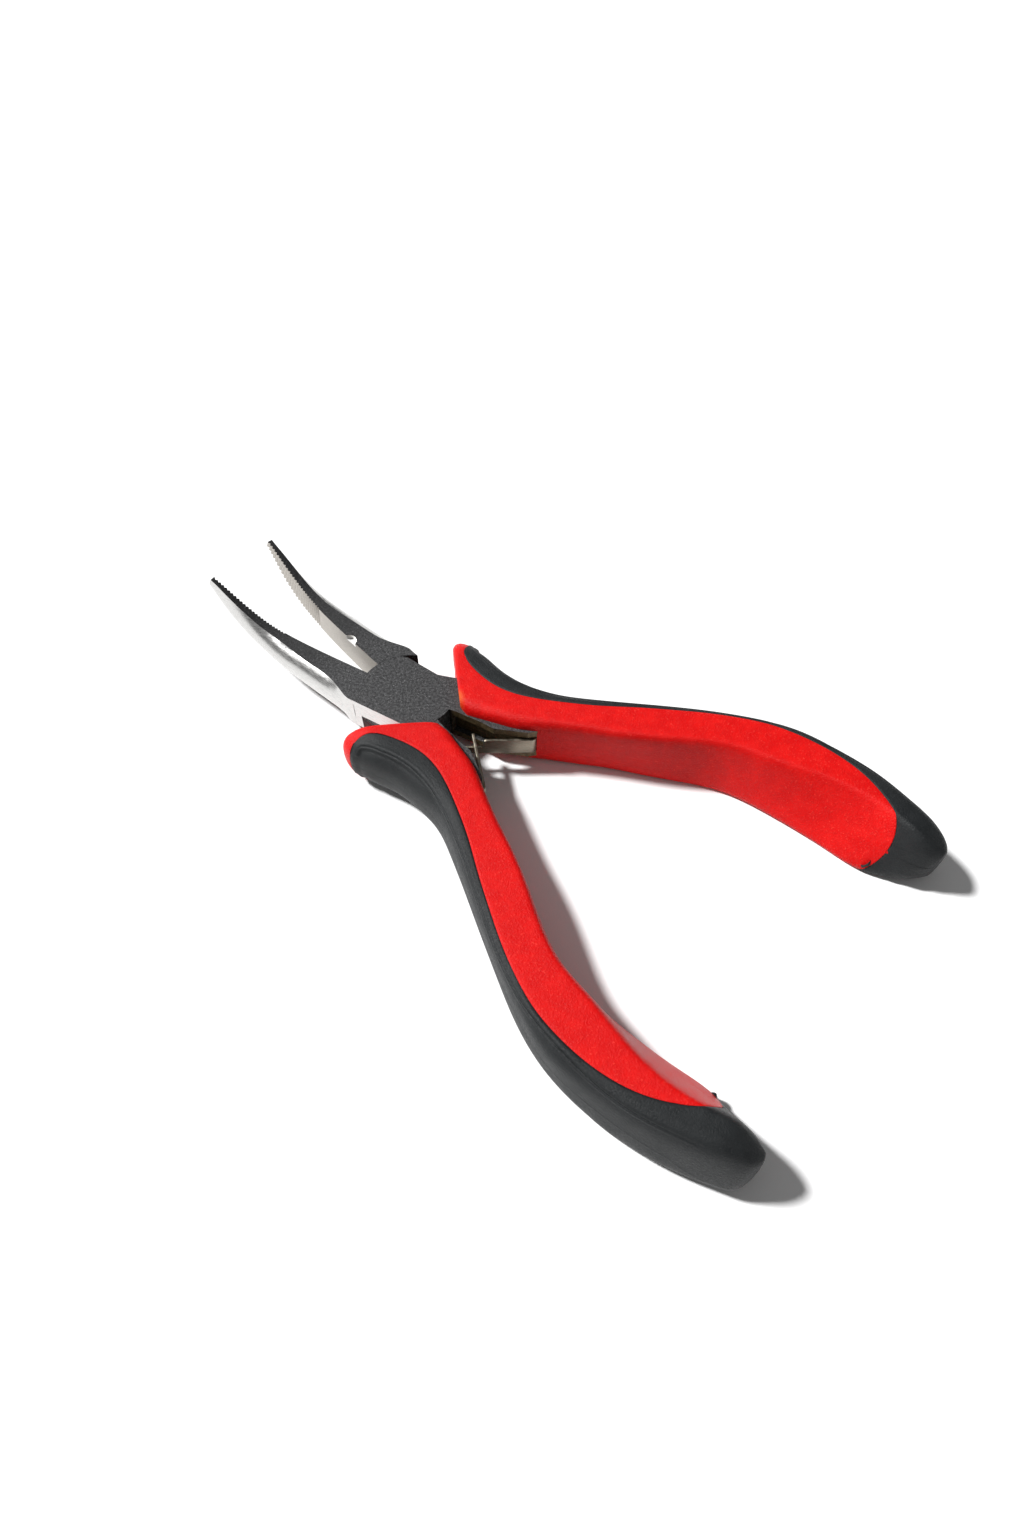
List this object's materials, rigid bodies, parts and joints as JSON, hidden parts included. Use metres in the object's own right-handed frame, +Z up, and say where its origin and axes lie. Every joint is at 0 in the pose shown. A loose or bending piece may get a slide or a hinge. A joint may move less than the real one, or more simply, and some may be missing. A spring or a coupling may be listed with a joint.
{
  "type": "bent nose pliers",
  "caption": "Small spring-opening bent-nose needle pliers: serrated upturned jaws, lap joint, crossed leaf springs and two-component contoured grips.",
  "frame": {"origin": "centre of the rivet's upper face, on the pivot axis and flush with the joint's upper face", "axes": "-X towards the jaw tips and +X towards the handle ends along the symmetry line, +Z up along the pivot axis, the way the jaws curl"},
  "size_m": [0.1293, 0.0724, 0.0162],
  "materials": {
    "lever_steel": "black phosphated forging, outer sides and gripping faces ground bright",
    "rivet_steel": "black phosphated, ground flush with the joint",
    "grip_red": "fine spark-eroded grain",
    "grip_black": "matt soft-touch elastomer",
    "spring_steel": "bright rolled strip"
  },
  "bodies": {
    "right_half": {"upper_lap_lever": "lever_steel", "pivot_rivet": "rivet_steel", "right_grip_core": "grip_red", "right_grip_overmould": "grip_black"},
    "left_half": {"lower_lap_lever": "lever_steel", "left_grip_core": "grip_red", "left_grip_overmould": "grip_black"},
    "right_leaf": {"right_leaf_spring": "spring_steel"},
    "left_leaf": {"left_leaf_spring": "spring_steel"}
  },
  "joints": [
    {"name": "pivot", "type": "hinge", "parent": "right_half", "child": "left_half", "pos_m": [0, 0, -0.0033], "axis": [0, 0, 1], "range_deg": [-4, 17.6], "stiffness_Nm_per_rad": 0.3},
    {"name": "right_leaf_flex", "type": "hinge", "parent": "right_half", "child": "right_leaf", "pos_m": [0.02254, 0.00679, -0.0033], "axis": [0, 0, 1], "range_deg": [-15, 4]},
    {"name": "left_leaf_flex", "type": "hinge", "parent": "left_half", "child": "left_leaf", "pos_m": [0.02254, -0.00679, -0.0033], "axis": [0, 0, 1], "range_deg": [-4, 15]}
  ],
  "couplings": [
    {"joint": "right_leaf_flex", "follows": "pivot", "ratio": -0.835},
    {"joint": "left_leaf_flex", "follows": "pivot", "ratio": 0.835}
  ]
}
